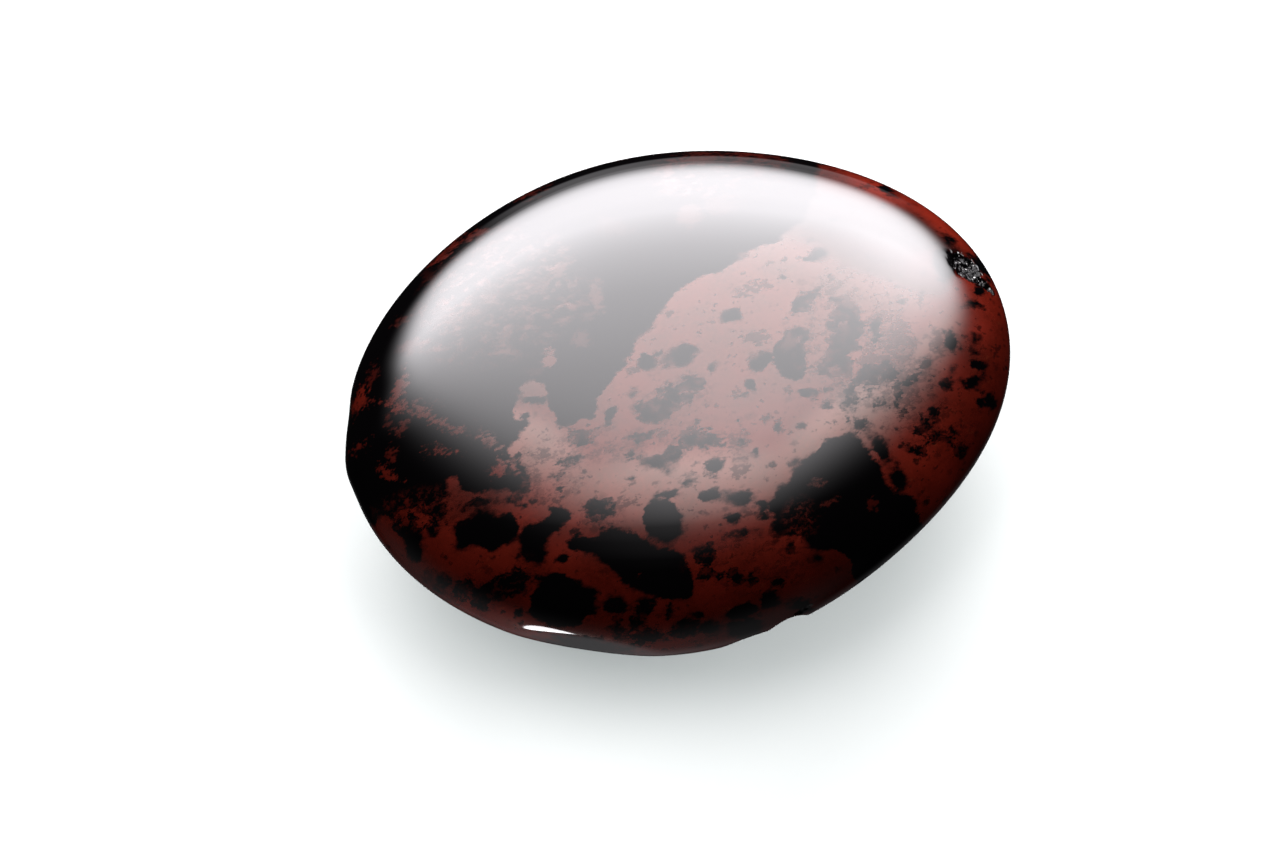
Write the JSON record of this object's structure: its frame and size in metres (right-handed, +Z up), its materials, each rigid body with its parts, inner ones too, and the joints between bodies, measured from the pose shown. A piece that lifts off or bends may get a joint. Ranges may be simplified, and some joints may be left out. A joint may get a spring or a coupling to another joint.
{
  "type": "palm stone",
  "caption": "Oval polished palm stone of mahogany obsidian, black volcanic glass with red-brown patches, domed above and below, resting on a small flat spot.",
  "frame": {"origin": "under the middle of the stone's outline, on the surface that it rests on", "axes": "+X along the stone's length, +Y across it, +Z up through the crown"},
  "size_m": [0.0684, 0.0554, 0.019],
  "materials": {
    "mahogany_obsidian": "gloss polished volcanic glass, black with red-brown flow patches and fine black specks"
  },
  "bodies": {
    "root": {"palm_stone": "mahogany_obsidian"}
  },
  "joints": []
}
